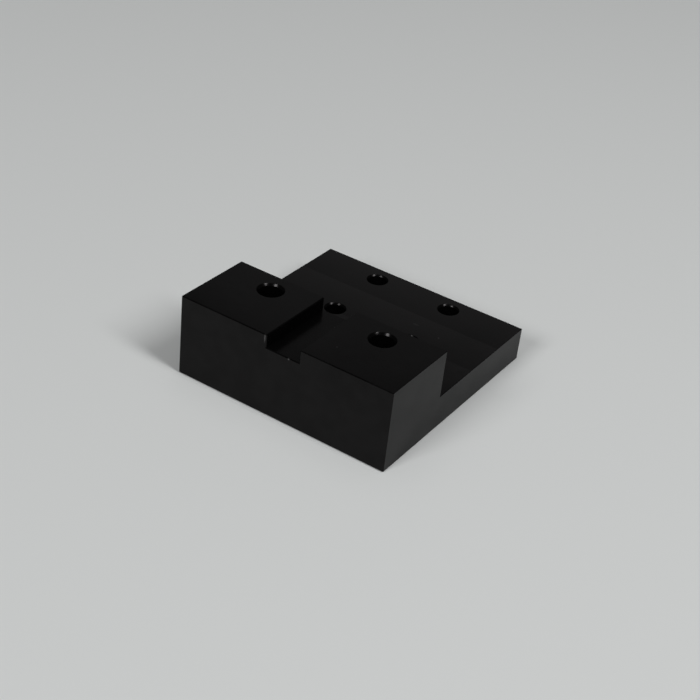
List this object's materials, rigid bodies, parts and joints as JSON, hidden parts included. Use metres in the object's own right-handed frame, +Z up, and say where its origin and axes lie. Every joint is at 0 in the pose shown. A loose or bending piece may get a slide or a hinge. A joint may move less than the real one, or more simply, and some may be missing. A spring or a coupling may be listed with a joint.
{
  "type": "machined mounting block",
  "caption": "Solid L-section block: a tall rail with a notch across its top and a thinner plate behind it, drilled through to be bolted down and to carry a part.",
  "frame": {"origin": "on the base, at the middle of the block's outline", "axes": "+X to the right along the rail, +Y from the rail to the plate's back edge, +Z up from the base"},
  "size_m": [0.066, 0.07, 0.024],
  "materials": {
    "black_anodised": "black anodised over a fine milled surface, satin to matt"
  },
  "bodies": {
    "root": {"mounting_block": "black_anodised"}
  },
  "joints": []
}
